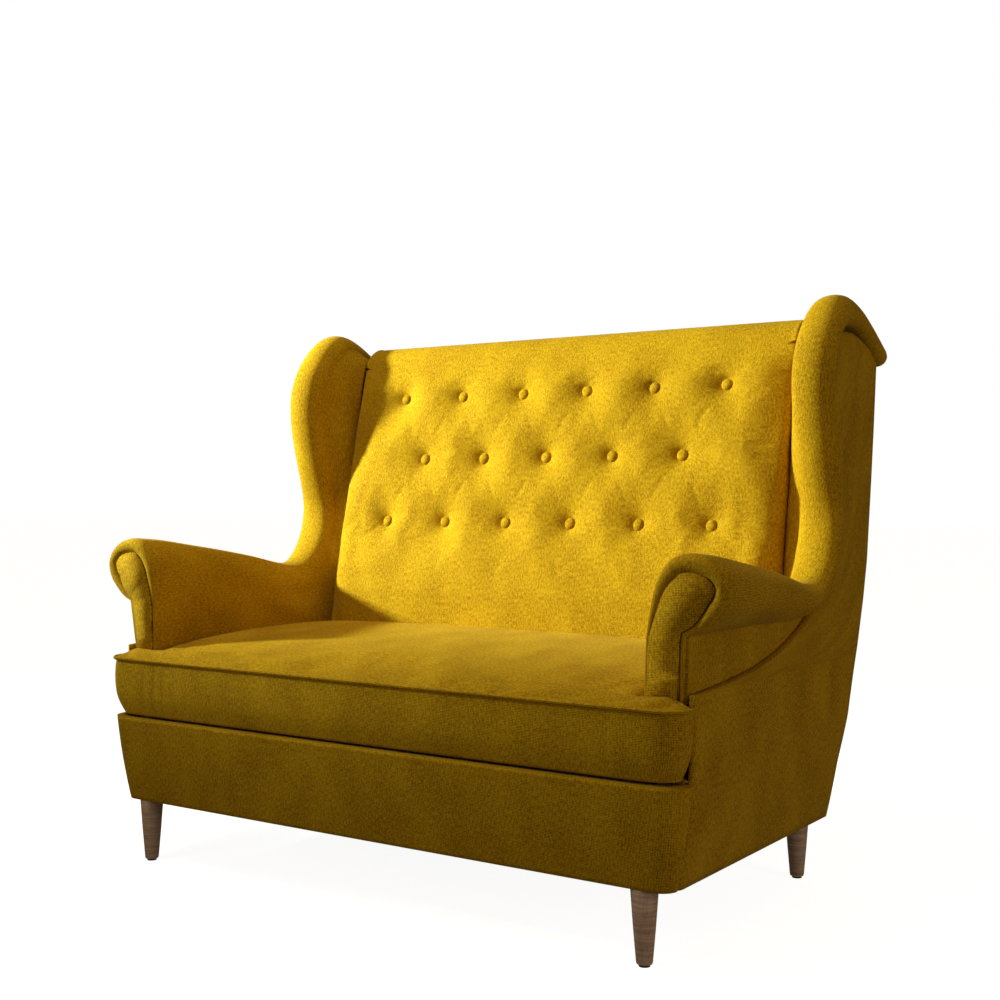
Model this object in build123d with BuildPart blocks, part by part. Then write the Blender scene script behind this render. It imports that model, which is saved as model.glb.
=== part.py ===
from build123d import *
import math
import os

# Two-seat wing sofa with wooden legs. Millimetres, +X to the right as seen from the
# front, +Y to the back, +Z up, origin on the floor under the middle of the sofa.

# Base frame
frame_width = 1176.0        # across the side rails
frame_front_y = -392.0      # front face of the front rail
frame_rear_y = 232.0        # rear face of the rear rail
board = 25.0                # thickness of rails and posts
block_size = 80.0           # corner blocks, square in plan
leg_top_z = 120.0           # underside of the upholstered body
cover_thickness = 1.5       # dust cover under the frame
rail_height = 140.0

# Seat
seat_gap = 3.0              # dark line between the front band and the seat
band_overlap = 21.0         # the front band stands this far above the rail
border_height = 111.0       # boxed front border of the seat
seat_crown = 40.0           # rise of the seat above its welt
seat_overhang = 27.8        # seat front ahead of the front rail
seat_side_gap = 2.0         # seat to inner arm
corner_radius = 46.0        # rounded front corners in plan

# Padding on the frame
side_pad_low = 13.0
side_pad_high = 42.0
front_pad_low = 8.0
front_pad_high = 27.0
rear_pad = 11.0
rear_skin = 10.0
rear_room = 8.0             # posts and wing panels inside the outer back's cloth
taper_height = 170.0        # the body leans in below this height over its underside

# Arms
arm_front_y = -376.0        # face of the arm facings
arm_rear_y = 62.0           # where the arm runs into the wing
arm_front_z = 629.0
arm_rear_z = 562.0
scroll_out = 94.0           # scroll beyond the frame's side at its front
scroll_roll = 46.0          # radius of the scroll at its front
scroll_under_z = 503.0
side_edge_z = 416.0         # front end of the outer side panel's top edge
inner_pad = 21.0            # inner arm padding
facing_thickness = 6.0
arm_board_width = 36.0
arm_board_thickness = 22.0
arm_top_pad = 76.0

# Back
back_angle = 14.0           # rake from upright
back_foot_y = 114.0         # front plane of the back at the seat's height
back_drop = 33.0            # top of the back below the top of the wings
top_depth = 170.0           # front plane of the back to the rear outline at the top
rear_drop = 78.0            # top of the rear outline below the top of the wings
back_pad = 75.0             # padding, square to the plane
back_pad_bottom_z = 335.0
back_gap = 4.0              # back pad to the wing pads
top_pad = 55.0              # from the top rail to the top of the back
strap_thickness = 2.0
strap_width = 50.0
rail_depth = 40.0
lower_rail_z = 440.0

# Wings
wing_top_z = 1088.0
wing_out = 60.0             # wing roll beyond the frame's side
roll_radius = 34.0
wing_board = 15.0
wing_board_inset = 42.0

# Buttons
button_pitch = 157.7
button_radius = 12.0
button_height = 8.0
button_room = 2.0           # pocket round a button
row_pitch = 140.4
bottom_row = 226.7          # up the back's plane from the seat
twine_radius = 0.9
twine_hole = 1.5

# Legs
leg_side_inset = 41.5       # leg axis from the frame's side
leg_front_inset = 14.6      # from the front rail's face
leg_rear_inset = 14.6       # from the rear rail's face
leg_radius_top = 22.5
leg_radius_foot = 13.0
glide_height = 3.0
bolt_radius = 4.0
bolt_in_leg = 32.0
bolt_in_block = 28.0
insert_radius = 6.0
running_gap = 0.1

# Springs
spring_count = 9
wire_radius = 1.9
spring_wave = 46.0          # width of the zigzag
spring_step = 30.0          # from one bar of the zigzag to the next
felt_thickness = 10.0
clip_size = 18.0

# Fixings
dowel_radius = 4.0
dowel_length = 40.0
post_dowel_radius = 5.0
post_dowel_length = 60.0
staple_width = 10.0
staple_wire = 0.6
staple_pitch = 80.0
welt_radius = 3.5

# Places worked out from the sizes above
half = frame_width / 2
base_z = leg_top_z + cover_thickness
rail_top = base_z + rail_height
band_top = rail_top + band_overlap
seat_bottom = band_top + seat_gap
welt_z = seat_bottom + border_height
seat_top = welt_z + seat_crown
taper_top = leg_top_z + taper_height
side_half_low = half + side_pad_low
side_half = half + side_pad_high
post_inner = half - board
inner_face = post_inner - inner_pad
seat_half = inner_face - seat_side_gap
back_half = inner_face - back_gap
panel_inner = half + wing_board
side_seam_y = arm_front_y + facing_thickness
scroll_x = half + scroll_out
scroll_rear_x = half + wing_out
clip_height = band_overlap + seat_gap - felt_thickness
back_top_z = wing_top_z - back_drop
top_rail_z = back_top_z - top_pad
rail_front = back_pad + strap_thickness
arm_board_inner = panel_inner - arm_board_width
arm_core_inner = min(arm_board_inner, post_inner)
leg_x = half - leg_side_inset
leg_front_y = frame_front_y + leg_front_inset
leg_rear_y = frame_rear_y - leg_rear_inset
sin_back = math.sin(math.radians(back_angle))
cos_back = math.cos(math.radians(back_angle))
tan_back = math.tan(math.radians(back_angle))
BACK = Plane(origin=(0, back_foot_y, seat_top), x_dir=(1, 0, 0), z_dir=(0, -cos_back, sin_back))


def back_y(z, behind=0.0):
    """Y of the back's raked front plane at height z, or of a plane that far behind it."""
    return back_foot_y + tan_back * (z - seat_top) + behind / cos_back


def back_up(z, behind):
    """Distance up the back's plane to height z on a plane that far behind it."""
    return (z - seat_top + behind * sin_back) / cos_back


def arm_core_z(y):
    """Height of the arm board's top at y: it falls with the arm to the rear."""
    slope = (arm_rear_z - arm_front_z) / (arm_rear_y - arm_front_y)
    return arm_front_z - arm_top_pad + slope * (y - arm_front_y)


def rear_line(inset):
    """Corners of the rear outline, from the underside up, moved in by inset."""
    low = frame_rear_y + rear_pad
    return [
        (low - inset, leg_top_z),
        (low + 6 - inset, leg_top_z + 120),
        (low + 130 - inset, leg_top_z + 400),
        (back_y(wing_top_z - rear_drop) + top_depth - inset, wing_top_z - rear_drop),
    ]


def rear_y(z, inset):
    """Y of the rear outline's upper part at height z, moved in by inset."""
    (low_y, low_z), (high_y, high_z) = rear_line(inset)[2:]
    return low_y + (high_y - low_y) * (z - low_z) / (high_z - low_z)


def wing_line(inset):
    """Corners of the wing's front and top outline, from the arm up, moved in by inset."""
    return [
        (arm_rear_y + 38 + inset, arm_rear_z - 6),
        (arm_rear_y + 120 + inset, arm_rear_z + 138),
        (arm_rear_y + 30 + inset, wing_top_z - 163),
        (arm_rear_y + 128 + inset * 0.55, wing_top_z + 20 - inset * 1.1),
    ]


def body_half(z):
    """Half the body's width at height z: it leans in towards the underside."""
    rise = min(1.0, (z - leg_top_z) / taper_height)
    return side_half_low + (side_half - side_half_low) * rise


def body_front(z):
    """Y of the front band's face at height z."""
    rise = min(1.0, (z - leg_top_z) / taper_height)
    return frame_front_y - front_pad_low - (front_pad_high - front_pad_low) * rise


def arm_section(y, top, outer, reach, over, under):
    """Cross-section of an arm at y: its scroll reaches out, rounded over and under."""
    with BuildSketch(Plane.XZ.offset(-y)) as section:
        with BuildLine():
            FilletPolyline(
                (inner_face, seat_bottom),
                (inner_face + 4, scroll_under_z - 3),
                (inner_face + 30, top),
                (reach, top),
                (reach, scroll_under_z + 17),
                (outer, scroll_under_z),
                (outer, seat_bottom),
                radius=[0, 120, 40, over, under, 0, 0],
                close=True,
            )
        make_face()
    return section.sketch


def wing_face():
    """Side outline of a wing with the padding behind the arm."""
    with BuildSketch(Plane.YZ) as outline:
        with BuildLine():
            front = wing_line(0)
            FilletPolyline(
                (arm_rear_y, seat_bottom),
                (arm_rear_y, arm_rear_z),
                *front,
                *reversed(rear_line(rear_skin)),
                (rear_line(rear_skin)[0][0] - 60, leg_top_z),
                radius=[0, 0, 45, 110, 130, 75, 12, 250, 250, 0, 0],
                close=True,
            )
        make_face()
        with Locations((0, seat_bottom)):
            Rectangle(4 * frame_width, 4 * seat_bottom, align=(Align.CENTER, Align.MAX), mode=Mode.SUBTRACT)
    return outline.sketch_local


def side_face():
    """Side outline of the outer side panel, with its top edge rising along the wing."""
    with BuildSketch(Plane.YZ) as outline:
        with BuildLine():
            FilletPolyline(
                (side_seam_y, leg_top_z),
                (side_seam_y, side_edge_z),
                (side_seam_y + 220, side_edge_z + 16),
                (arm_rear_y + 58, side_edge_z + 104),
                (arm_rear_y + 144, arm_rear_z + 128),
                (arm_rear_y + 80, wing_top_z - 208),
                (arm_rear_y + 106, wing_top_z - 63),
                (arm_rear_y + 238, wing_top_z - 58),
                (rear_y(wing_top_z - 112, rear_skin), wing_top_z - 112),
                *reversed(rear_line(rear_skin)[:3]),
                radius=[0, 12, 400, 180, 120, 120, 35, 60, 5, 250, 250, 0],
                close=True,
            )
        make_face()
    return outline.sketch_local


def board_face():
    """Side outline of the wooden wing panel."""
    front = wing_line(wing_board_inset)
    with BuildSketch(Plane.YZ) as outline:
        with BuildLine():
            FilletPolyline(
                (arm_rear_y + 18, lower_rail_z),
                (arm_rear_y + 18, arm_core_z(arm_rear_y + 18)),
                *front,
                (rear_line(rear_skin + rear_room)[3][0] - 10, wing_top_z - 115),
                *reversed(rear_line(rear_skin + rear_room)[1:3]),
                (back_y(rail_top, rail_front), rail_top),
                radius=[20, 5, 30, 100, 100, 40, 8, 250, 30, 30],
                close=True,
            )
        make_face()
        with Locations((0, rail_top)):
            Rectangle(4 * frame_width, 4 * rail_top, align=(Align.CENTER, Align.MAX), mode=Mode.SUBTRACT)
    return outline.sketch_local


def arm_board_face():
    """Side outline of an arm board, from the arm's front to its end inside the wing."""
    front = side_seam_y + 2
    rear = arm_rear_y + 18
    with BuildSketch(Plane.YZ) as outline:
        with BuildLine():
            Polyline(
                (front, arm_core_z(front)),
                (rear, arm_core_z(rear)),
                (rear, arm_core_z(rear) - arm_board_thickness),
                (front, arm_core_z(front) - arm_board_thickness),
                close=True,
            )
        make_face()
    return outline.sketch_local


def post_face():
    """Side outline of a back post: its front follows the rake, its rear the outer back."""
    rear = rear_line(rear_skin + rear_room)
    with BuildSketch(Plane.YZ) as outline:
        with BuildLine():
            Polyline(
                (back_y(rail_top, rail_front), rail_top),
                (back_y(top_rail_z, rail_front), top_rail_z),
                (rear[3][0] - 12, top_rail_z - 15),
                rear[2],
                (frame_rear_y, rail_top),
                close=True,
            )
        make_face()
    return outline.sketch_local


def leg_places():
    """Plan positions of the four legs."""
    return [(x, y) for x in (-leg_x, leg_x) for y in (leg_front_y, leg_rear_y)]


def button_rows():
    """Number of buttons and height up the back's plane of each row, from the bottom."""
    return [(6, bottom_row), (5, bottom_row + row_pitch), (6, bottom_row + 2 * row_pitch)]


def button_places():
    """Positions of all the buttons in the back's plane."""
    return [
        ((i - (count - 1) / 2) * button_pitch, up)
        for count, up in button_rows()
        for i in range(count)
    ]


def mirrored(piece):
    """The same piece on the other side of the sofa."""
    with BuildPart() as other:
        add(piece)
        mirror(about=Plane.YZ, mode=Mode.REPLACE)
    return other


os.makedirs("parts", exist_ok=True)


# ---------------------------------------------------------------- base frame
def rail_dowels(radius, length, mode):
    """Dowels across the eight joints of rails and corner blocks, two in each."""
    for z in (base_z + rail_height / 4, rail_top - rail_height / 4):
        for side in (-1, 1):
            for y in (frame_front_y + board / 2, frame_rear_y - board / 2):
                with Locations((side * (half - block_size), y, z)):
                    Cylinder(radius, length, rotation=(0, 90, 0), mode=mode)
            for y in (frame_front_y + block_size, frame_rear_y - block_size):
                with Locations((side * (half - board / 2), y, z)):
                    Cylinder(radius, length, rotation=(90, 0, 0), mode=mode)


def post_dowels(radius, length, mode):
    """Upright dowels between the corner blocks and the posts that stand on them."""
    front = side_seam_y + 2
    rear = back_y(rail_top, rail_front)
    for side in (-1, 1):
        for y in (front + 15, front + 45, rear + 20, rear + 60):
            with Locations((side * (half - board / 2), y, rail_top)):
                Cylinder(radius, length, mode=mode)


def make_rails():
    width = frame_width - 2 * block_size
    depth = frame_rear_y - frame_front_y
    with BuildPart() as front_rail:
        with BuildSketch(Plane.XY.offset(base_z)):
            with Locations((0, frame_front_y)):
                Rectangle(width, board, align=(Align.CENTER, Align.MIN))
        extrude(amount=rail_height)
        rail_dowels(dowel_radius + running_gap, dowel_length + 2, Mode.SUBTRACT)
    front_rail.part.label = "front_rail"
    export_step(front_rail.part, "parts/front_rail.step")

    with BuildPart() as rear_rail:
        with BuildSketch(Plane.XY.offset(base_z)):
            with Locations((0, frame_rear_y)):
                Rectangle(width, board, align=(Align.CENTER, Align.MAX))
        extrude(amount=rail_height)
        rail_dowels(dowel_radius + running_gap, dowel_length + 2, Mode.SUBTRACT)
    rear_rail.part.label = "rear_rail"
    export_step(rear_rail.part, "parts/rear_rail.step")

    with BuildPart() as side_rail_right:
        with BuildSketch(Plane.XY.offset(base_z)):
            with Locations((half, frame_front_y + block_size)):
                Rectangle(board, depth - 2 * block_size, align=(Align.MAX, Align.MIN))
        extrude(amount=rail_height)
        rail_dowels(dowel_radius + running_gap, dowel_length + 2, Mode.SUBTRACT)
    side_rail_right.part.label = "side_rail_right"
    export_step(side_rail_right.part, "parts/side_rail_right.step")
    side_rail_left = mirrored(side_rail_right.part)
    side_rail_left.part.label = "side_rail_left"
    export_step(side_rail_left.part, "parts/side_rail_left.step")

    with BuildPart() as centre_stretcher:
        with BuildSketch(Plane.XY.offset(base_z)):
            with Locations((0, frame_front_y + board)):
                Rectangle(2 * board, depth - 2 * board, align=(Align.CENTER, Align.MIN))
        extrude(amount=rail_height / 2)
    centre_stretcher.part.label = "centre_stretcher"
    export_step(centre_stretcher.part, "parts/centre_stretcher.step")

    with BuildPart() as dowels:
        rail_dowels(dowel_radius, dowel_length, Mode.ADD)
        post_dowels(post_dowel_radius, post_dowel_length, Mode.ADD)
    dowels.part.label = "frame_dowels"
    export_step(dowels.part, "parts/frame_dowels.step")


def make_corner_block(y, align, name):
    """Block in a corner of the frame, bored from below for the leg's insert."""
    leg_y = leg_front_y if y < 0 else leg_rear_y
    with BuildPart() as block:
        with BuildSketch(Plane.XY.offset(base_z)):
            with Locations((half, y)):
                Rectangle(block_size, block_size, align=(Align.MAX, align))
        extrude(amount=rail_height)
        rail_dowels(dowel_radius + running_gap, dowel_length + 2, Mode.SUBTRACT)
        post_dowels(post_dowel_radius + running_gap, post_dowel_length + 2, Mode.SUBTRACT)
        with BuildSketch(Plane.XY.offset(base_z)):
            with Locations((leg_x, leg_y)):
                Circle(insert_radius + running_gap)
        extrude(amount=bolt_in_block + 2, mode=Mode.SUBTRACT)
    block.part.label = "corner_block_" + name + "_right"
    export_step(block.part, "parts/corner_block_" + name + "_right.step")
    other = mirrored(block.part)
    other.part.label = "corner_block_" + name + "_left"
    export_step(other.part, "parts/corner_block_" + name + "_left.step")


# ---------------------------------------------------------------- upper frame
def make_posts():
    front = side_seam_y + 2
    with BuildPart() as front_post_right:
        with BuildSketch(Plane.YZ.offset(post_inner)):
            with BuildLine():
                Polyline(
                    (front, rail_top),
                    (front + 60, rail_top),
                    (front + 60, arm_core_z(front + 60) - arm_board_thickness),
                    (front, arm_core_z(front) - arm_board_thickness),
                    close=True,
                )
            make_face()
        extrude(amount=board)
        post_dowels(post_dowel_radius + running_gap, post_dowel_length + 2, Mode.SUBTRACT)
    front_post_right.part.label = "front_post_right"
    export_step(front_post_right.part, "parts/front_post_right.step")
    front_post_left = mirrored(front_post_right.part)
    front_post_left.part.label = "front_post_left"
    export_step(front_post_left.part, "parts/front_post_left.step")

    with BuildPart() as back_post_right:
        with BuildSketch(Plane.YZ.offset(post_inner)):
            add(post_face())
        extrude(amount=board)
        post_dowels(post_dowel_radius + running_gap, post_dowel_length + 2, Mode.SUBTRACT)
    back_post_right.part.label = "back_post_right"
    export_step(back_post_right.part, "parts/back_post_right.step")
    back_post_left = mirrored(back_post_right.part)
    back_post_left.part.label = "back_post_left"
    export_step(back_post_left.part, "parts/back_post_left.step")


def make_arm_boards():
    with BuildPart() as arm_board_right:
        with BuildSketch(Plane.YZ.offset(arm_board_inner)):
            add(arm_board_face())
        extrude(amount=arm_board_width)
    arm_board_right.part.label = "arm_board_right"
    export_step(arm_board_right.part, "parts/arm_board_right.step")
    arm_board_left = mirrored(arm_board_right.part)
    arm_board_left.part.label = "arm_board_left"
    export_step(arm_board_left.part, "parts/arm_board_left.step")


def make_wing_panels():
    with BuildPart() as wing_panel_right:
        with BuildSketch(Plane.YZ.offset(half)):
            add(board_face())
        extrude(amount=wing_board)
    wing_panel_right.part.label = "wing_panel_right"
    export_step(wing_panel_right.part, "parts/wing_panel_right.step")
    wing_panel_left = mirrored(wing_panel_right.part)
    wing_panel_left.part.label = "wing_panel_left"
    export_step(wing_panel_left.part, "parts/wing_panel_left.step")


def make_back_rails():
    for name, bottom in (("back_lower_rail", lower_rail_z), ("back_top_rail", top_rail_z - rail_depth)):
        top = bottom + rail_depth
        with BuildPart() as rail:
            with BuildSketch(Plane.YZ):
                with BuildLine():
                    Polyline(
                        (back_y(bottom, rail_front), bottom),
                        (back_y(top, rail_front), top),
                        (back_y(top, rail_front + board), top),
                        (back_y(bottom, rail_front + board), bottom),
                        close=True,
                    )
                make_face()
            extrude(amount=post_inner, both=True)
        rail.part.label = name
        export_step(rail.part, "parts/" + name + ".step")


def make_back_straps():
    low = back_up(lower_rail_z + rail_depth / 2, rail_front)
    high = back_up(top_rail_z - rail_depth / 2, rail_front)
    with BuildPart() as back_straps:
        with BuildSketch(BACK.offset(-rail_front)):
            with Locations(*[(i * button_pitch / 2, low) for i in range(-5, 6)]):
                Rectangle(strap_width, high - low, align=(Align.CENTER, Align.MIN))
            with Locations(*button_places()):
                Circle(twine_hole, mode=Mode.SUBTRACT)
        extrude(amount=strap_thickness)
    back_straps.part.label = "back_straps"
    export_step(back_straps.part, "parts/back_straps.step")


# ---------------------------------------------------------------- seat
def spring_places():
    """X of each zigzag spring."""
    pitch = 2 * seat_half / spring_count
    return [(i - (spring_count - 1) / 2) * pitch for i in range(spring_count)]


def make_springs():
    front = frame_front_y + board / 2
    rear = frame_rear_y - board / 2
    bars = int((rear - front) / spring_step)
    bars -= bars % 2
    step = (rear - front) / bars
    z = rail_top + clip_height / 2
    w = spring_wave / 2
    points = [(0, front)]
    for i in range(bars):
        side = 1 if i % 2 else -1
        points.append((side * w, front + i * step))
        points.append((side * w, front + (i + 1) * step))
    points.append((0, rear))
    with BuildPart() as spring:
        with BuildLine(Plane.XY.offset(z)) as path:
            FilletPolyline(*points, radius=step * 0.45)
        with BuildSketch(Plane(path.line @ 0, z_dir=path.line % 0)):
            Circle(wire_radius)
        sweep()
    with BuildPart() as seat_springs:
        with Locations(*[(x, 0, 0) for x in spring_places()]):
            add(spring.part)
    seat_springs.part.label = "seat_springs"
    export_step(seat_springs.part, "parts/seat_springs.step")

    with BuildPart() as spring_clips:
        for y in (front, rear):
            for x in spring_places():
                with BuildSketch(Plane.YZ.offset(x - clip_size / 2)):
                    with Locations((y, rail_top + clip_height / 2)):
                        Rectangle(clip_size, clip_height)
                        Circle(wire_radius + running_gap, mode=Mode.SUBTRACT)
                extrude(amount=clip_size)
    spring_clips.part.label = "spring_clips"
    export_step(spring_clips.part, "parts/spring_clips.step")


def make_felt():
    with BuildPart() as spring_felt:
        with BuildSketch(Plane.XY.offset(seat_bottom - felt_thickness)):
            with Locations((0, frame_front_y + 5)):
                Rectangle(
                    2 * seat_half,
                    frame_rear_y - board - frame_front_y,
                    align=(Align.CENTER, Align.MIN),
                )
        extrude(amount=felt_thickness)
    spring_felt.part.label = "spring_felt"
    export_step(spring_felt.part, "parts/spring_felt.step")


def make_seat():
    front = frame_front_y - seat_overhang
    tip = side_half - 4
    turn = min(corner_radius, arm_front_y - front - 2)
    with BuildPart() as seat_cushion:
        with BuildSketch(Plane.YZ):
            with BuildLine():
                Line((front, seat_bottom), (front, welt_z))
                Spline(
                    (front, welt_z),
                    (front + 125, welt_z + 0.8 * seat_crown),
                    (front + 330, welt_z + 1.08 * seat_crown),
                    (back_y(seat_top, -1), seat_top),
                )
                Line((back_y(seat_top, -1), seat_top), (back_y(seat_bottom, -1), seat_bottom))
                Line((back_y(seat_bottom, -1), seat_bottom), (front, seat_bottom))
            make_face()
        extrude(amount=tip, both=True)
        with BuildSketch(Plane.XY.offset(seat_bottom - 1)):
            with BuildLine():
                FilletPolyline(
                    (-tip, arm_front_y - 1),
                    (-tip, front),
                    (tip, front),
                    (tip, arm_front_y - 1),
                    radius=[0, turn, turn, 0],
                    close=True,
                )
            make_face()
            with Locations((0, arm_front_y - 10)):
                Rectangle(
                    2 * seat_half,
                    4 * block_size + frame_rear_y - frame_front_y,
                    align=(Align.CENTER, Align.MIN),
                )
        extrude(amount=border_height + 2 * seat_crown, mode=Mode.INTERSECT)
    seat_cushion.part.label = "seat_cushion"
    export_step(seat_cushion.part, "parts/seat_cushion.step")

    out = welt_radius + 0.2
    with BuildPart() as seat_welt:
        with BuildLine(Plane.XY.offset(welt_z)) as path:
            FilletPolyline(
                (-tip - out, arm_front_y - 1),
                (-tip - out, front - out),
                (tip + out, front - out),
                (tip + out, arm_front_y - 1),
                radius=turn + out,
            )
        with BuildSketch(Plane(path.line @ 0, z_dir=path.line % 0)):
            Circle(welt_radius)
        sweep()
    seat_welt.part.label = "seat_welt"
    export_step(seat_welt.part, "parts/seat_welt.step")


# ---------------------------------------------------------------- back
def make_back_cushion():
    rear = rear_line(rear_skin)[3][0] - 3
    with BuildPart() as back_cushion:
        with BuildSketch(Plane.YZ):
            with BuildLine():
                FilletPolyline(
                    (back_y(back_pad_bottom_z), back_pad_bottom_z),
                    (back_y(back_top_z), back_top_z),
                    ((back_y(back_top_z) + rear) / 2, back_top_z),
                    (rear, wing_top_z - rear_drop),
                    (rear, top_rail_z),
                    (back_y(top_rail_z, back_pad), top_rail_z),
                    (back_y(back_pad_bottom_z, back_pad), back_pad_bottom_z),
                    radius=[10, 45, 60, 6, 0, 0, 10],
                    close=True,
                )
            make_face()
        extrude(amount=back_half, both=True)
        with BuildSketch(BACK):
            with Locations(*button_places()):
                Circle(button_radius + button_room)
        extrude(amount=-button_height, mode=Mode.SUBTRACT)
        with BuildSketch(BACK):
            with Locations(*button_places()):
                Circle(twine_hole)
        extrude(amount=-2 * back_pad, mode=Mode.SUBTRACT)
    back_cushion.part.label = "back_cushion"
    export_step(back_cushion.part, "parts/back_cushion.step")


def make_buttons():
    names = ("buttons_bottom_row", "buttons_middle_row", "buttons_top_row")
    for name, (count, up) in zip(names, button_rows()):
        places = [((i - (count - 1) / 2) * button_pitch, up) for i in range(count)]
        with BuildPart() as row:
            with BuildSketch(BACK.offset(-button_height)):
                with Locations(*places):
                    Circle(button_radius)
            extrude(amount=button_height)
            fillet(row.edges().group_by(Axis((0, 0, 0), BACK.z_dir))[-1], 4)
        row.part.label = name
        export_step(row.part, "parts/" + name + ".step")

    with BuildPart() as button_twines:
        with BuildSketch(BACK.offset(-button_height)):
            with Locations(*button_places()):
                Circle(twine_radius)
        extrude(amount=-(rail_front - button_height))
    button_twines.part.label = "button_twines"
    export_step(button_twines.part, "parts/button_twines.step")

    with BuildPart() as twine_toggles:
        with BuildSketch(BACK.offset(-rail_front)):
            with Locations(*button_places()):
                Circle(8)
        extrude(amount=-3)
    twine_toggles.part.label = "twine_toggles"
    export_step(twine_toggles.part, "parts/twine_toggles.step")


# ---------------------------------------------------------------- wings and arms
def make_wing_pads():
    with BuildPart() as wing_pad_right:
        with BuildSketch(Plane.YZ.offset(inner_face)):
            add(wing_face())
        extrude(amount=half + wing_out - inner_face)
        for side, radius in ((0, inner_pad), (-1, roll_radius)):
            rim = wing_pad_right.faces().sort_by(Axis.X)[side].edges()
            rim = rim.filter_by(lambda e: e.center().Z > arm_rear_z - 4)
            fillet(rim.filter_by(lambda e: e.center().Y < rear_line(rear_skin)[3][0] - 84), radius)
        with BuildSketch(Plane.YZ.offset(post_inner)):
            add(board_face())
            add(post_face())
        extrude(amount=board + wing_board, mode=Mode.SUBTRACT)
        with BuildSketch(Plane.YZ.offset(arm_board_inner)):
            add(arm_board_face())
        extrude(amount=arm_board_width, mode=Mode.SUBTRACT)
        with BuildSketch(Plane.YZ.offset(panel_inner)):
            add(side_face())
        extrude(amount=2 * wing_out, mode=Mode.SUBTRACT)
        with BuildSketch(Plane.YZ.offset(inner_face - 1)):
            with BuildLine():
                Polyline(
                    (back_y(0, rail_front), 0),
                    (back_y(top_rail_z, rail_front), top_rail_z),
                    (2 * back_y(top_rail_z, rail_front), top_rail_z),
                    (2 * back_y(top_rail_z, rail_front), 0),
                    close=True,
                )
            make_face()
        extrude(amount=inner_pad + 1, mode=Mode.SUBTRACT)
        with BuildSketch(Plane.YZ.offset(post_inner)):
            with Locations((0, seat_bottom - 10)):
                Rectangle(4 * frame_width, lower_rail_z - seat_bottom, align=(Align.CENTER, Align.MIN))
        extrude(amount=4 * board, mode=Mode.SUBTRACT)
    wing_pad_right.part.label = "wing_pad_right"
    export_step(wing_pad_right.part, "parts/wing_pad_right.step")
    wing_pad_left = mirrored(wing_pad_right.part)
    wing_pad_left.part.label = "wing_pad_left"
    export_step(wing_pad_left.part, "parts/wing_pad_left.step")


def make_arm_pads():
    with BuildPart() as arm_pad_right:
        front = arm_section(side_seam_y, arm_front_z, panel_inner, scroll_x, scroll_roll, scroll_roll)
        rear = arm_section(arm_rear_y, arm_rear_z, panel_inner, scroll_rear_x, 24, 16)
        loft(sections=[front, rear], ruled=True)
        with BuildSketch(Plane.YZ.offset(arm_core_inner)):
            with BuildLine():
                Polyline(
                    (side_seam_y, seat_bottom),
                    (side_seam_y, arm_core_z(side_seam_y)),
                    (arm_rear_y, arm_core_z(arm_rear_y)),
                    (arm_rear_y, seat_bottom),
                    close=True,
                )
            make_face()
        extrude(amount=panel_inner - arm_core_inner, mode=Mode.SUBTRACT)
    arm_pad_right.part.label = "arm_pad_right"
    export_step(arm_pad_right.part, "parts/arm_pad_right.step")
    arm_pad_left = mirrored(arm_pad_right.part)
    arm_pad_left.part.label = "arm_pad_left"
    export_step(arm_pad_left.part, "parts/arm_pad_left.step")


def make_arm_facings():
    with BuildPart() as arm_facing_right:
        face = arm_section(side_seam_y, arm_front_z, panel_inner + 8, scroll_x, scroll_roll, scroll_roll)
        extrude(face, amount=facing_thickness)
    arm_facing_right.part.label = "arm_facing_right"
    export_step(arm_facing_right.part, "parts/arm_facing_right.step")
    arm_facing_left = mirrored(arm_facing_right.part)
    arm_facing_left.part.label = "arm_facing_left"
    export_step(arm_facing_left.part, "parts/arm_facing_left.step")

    y = arm_front_y - welt_radius - 0.2
    low = welt_z + 0.75 * seat_crown
    with BuildPart() as facing_welt_right:
        with BuildLine(Plane.XZ.offset(-y)) as path:
            FilletPolyline(
                (inner_face + 4, low),
                (inner_face + 8, scroll_under_z - 3),
                (inner_face + 32, arm_front_z - 4),
                (scroll_x - 4, arm_front_z - 4),
                (scroll_x - 4, scroll_under_z + 19),
                (panel_inner + 4, scroll_under_z),
                (panel_inner + 4, low),
                radius=[120, 38, scroll_roll - 4, scroll_roll - 4, 8],
            )
        with BuildSketch(Plane(path.line @ 0, z_dir=path.line % 0)):
            Circle(welt_radius)
        sweep()
    facing_welt_right.part.label = "facing_welt_right"
    export_step(facing_welt_right.part, "parts/facing_welt_right.step")
    facing_welt_left = mirrored(facing_welt_right.part)
    facing_welt_left.part.label = "facing_welt_left"
    export_step(facing_welt_left.part, "parts/facing_welt_left.step")


def make_outer_arms():
    with BuildPart() as outer_arm_right:
        with BuildSketch(Plane.YZ.offset(panel_inner)):
            with Locations((side_seam_y, side_edge_z - 10)):
                Rectangle(
                    arm_rear_y - side_seam_y,
                    scroll_under_z - side_edge_z + 10,
                    align=(Align.MIN, Align.MIN),
                )
            add(side_face(), mode=Mode.SUBTRACT)
        extrude(amount=14)
    outer_arm_right.part.label = "outer_arm_right"
    export_step(outer_arm_right.part, "parts/outer_arm_right.step")
    outer_arm_left = mirrored(outer_arm_right.part)
    outer_arm_left.part.label = "outer_arm_left"
    export_step(outer_arm_left.part, "parts/outer_arm_left.step")


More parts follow.
